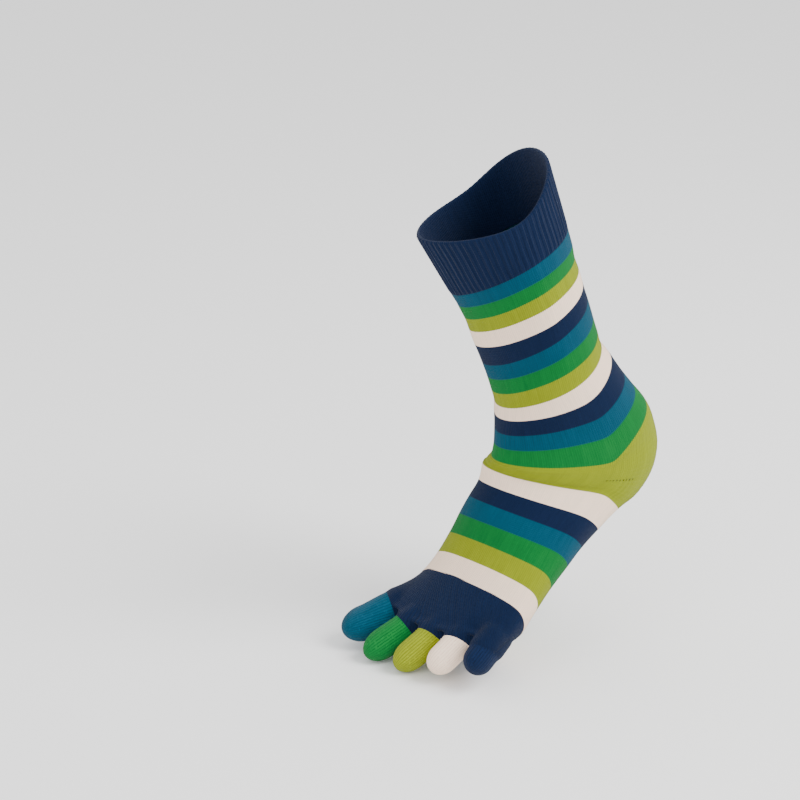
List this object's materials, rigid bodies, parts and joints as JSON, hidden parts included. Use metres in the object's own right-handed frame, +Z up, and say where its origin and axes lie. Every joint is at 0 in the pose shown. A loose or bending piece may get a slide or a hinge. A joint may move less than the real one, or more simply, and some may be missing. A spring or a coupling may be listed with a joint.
{
  "type": "toe sock",
  "caption": "knitted crew-length sock with a separate pocket for each toe, horizontal stripes and a ribbed cuff, in its worn shape and open at the leg",
  "frame": {"origin": "the middle of the leg opening at the cuff's rim, where the leg goes in", "axes": "+Z up, -Y toward the toes, +X toward the wearer's left, the little-toe side"},
  "size_m": [0.1074, 0.1925, 0.3091],
  "materials": {
    "navy_yarn": "matte knitted cotton",
    "teal_yarn": "matte knitted cotton",
    "green_yarn": "matte knitted cotton",
    "lime_yarn": "matte knitted cotton",
    "cream_yarn": "matte knitted cotton"
  },
  "bodies": {
    "root": {"cuff": "navy_yarn", "leg_band_01": "teal_yarn", "leg_band_02": "green_yarn", "leg_band_03": "lime_yarn", "leg_band_04": "cream_yarn", "leg_band_05": "navy_yarn", "leg_band_06": "teal_yarn", "leg_band_07": "green_yarn", "leg_band_08": "lime_yarn", "leg_band_09": "cream_yarn", "leg_band_10": "navy_yarn", "leg_band_11": "teal_yarn", "leg_band_12": "green_yarn", "heel_pocket": "lime_yarn", "foot_band_01": "cream_yarn", "foot_band_02": "navy_yarn", "foot_band_03": "teal_yarn", "foot_band_04": "green_yarn", "foot_band_05": "lime_yarn", "foot_band_06": "cream_yarn", "forefoot": "navy_yarn", "big_toe": "teal_yarn", "second_toe": "green_yarn", "third_toe": "lime_yarn", "fourth_toe": "cream_yarn", "little_toe": "navy_yarn"}
  },
  "joints": []
}
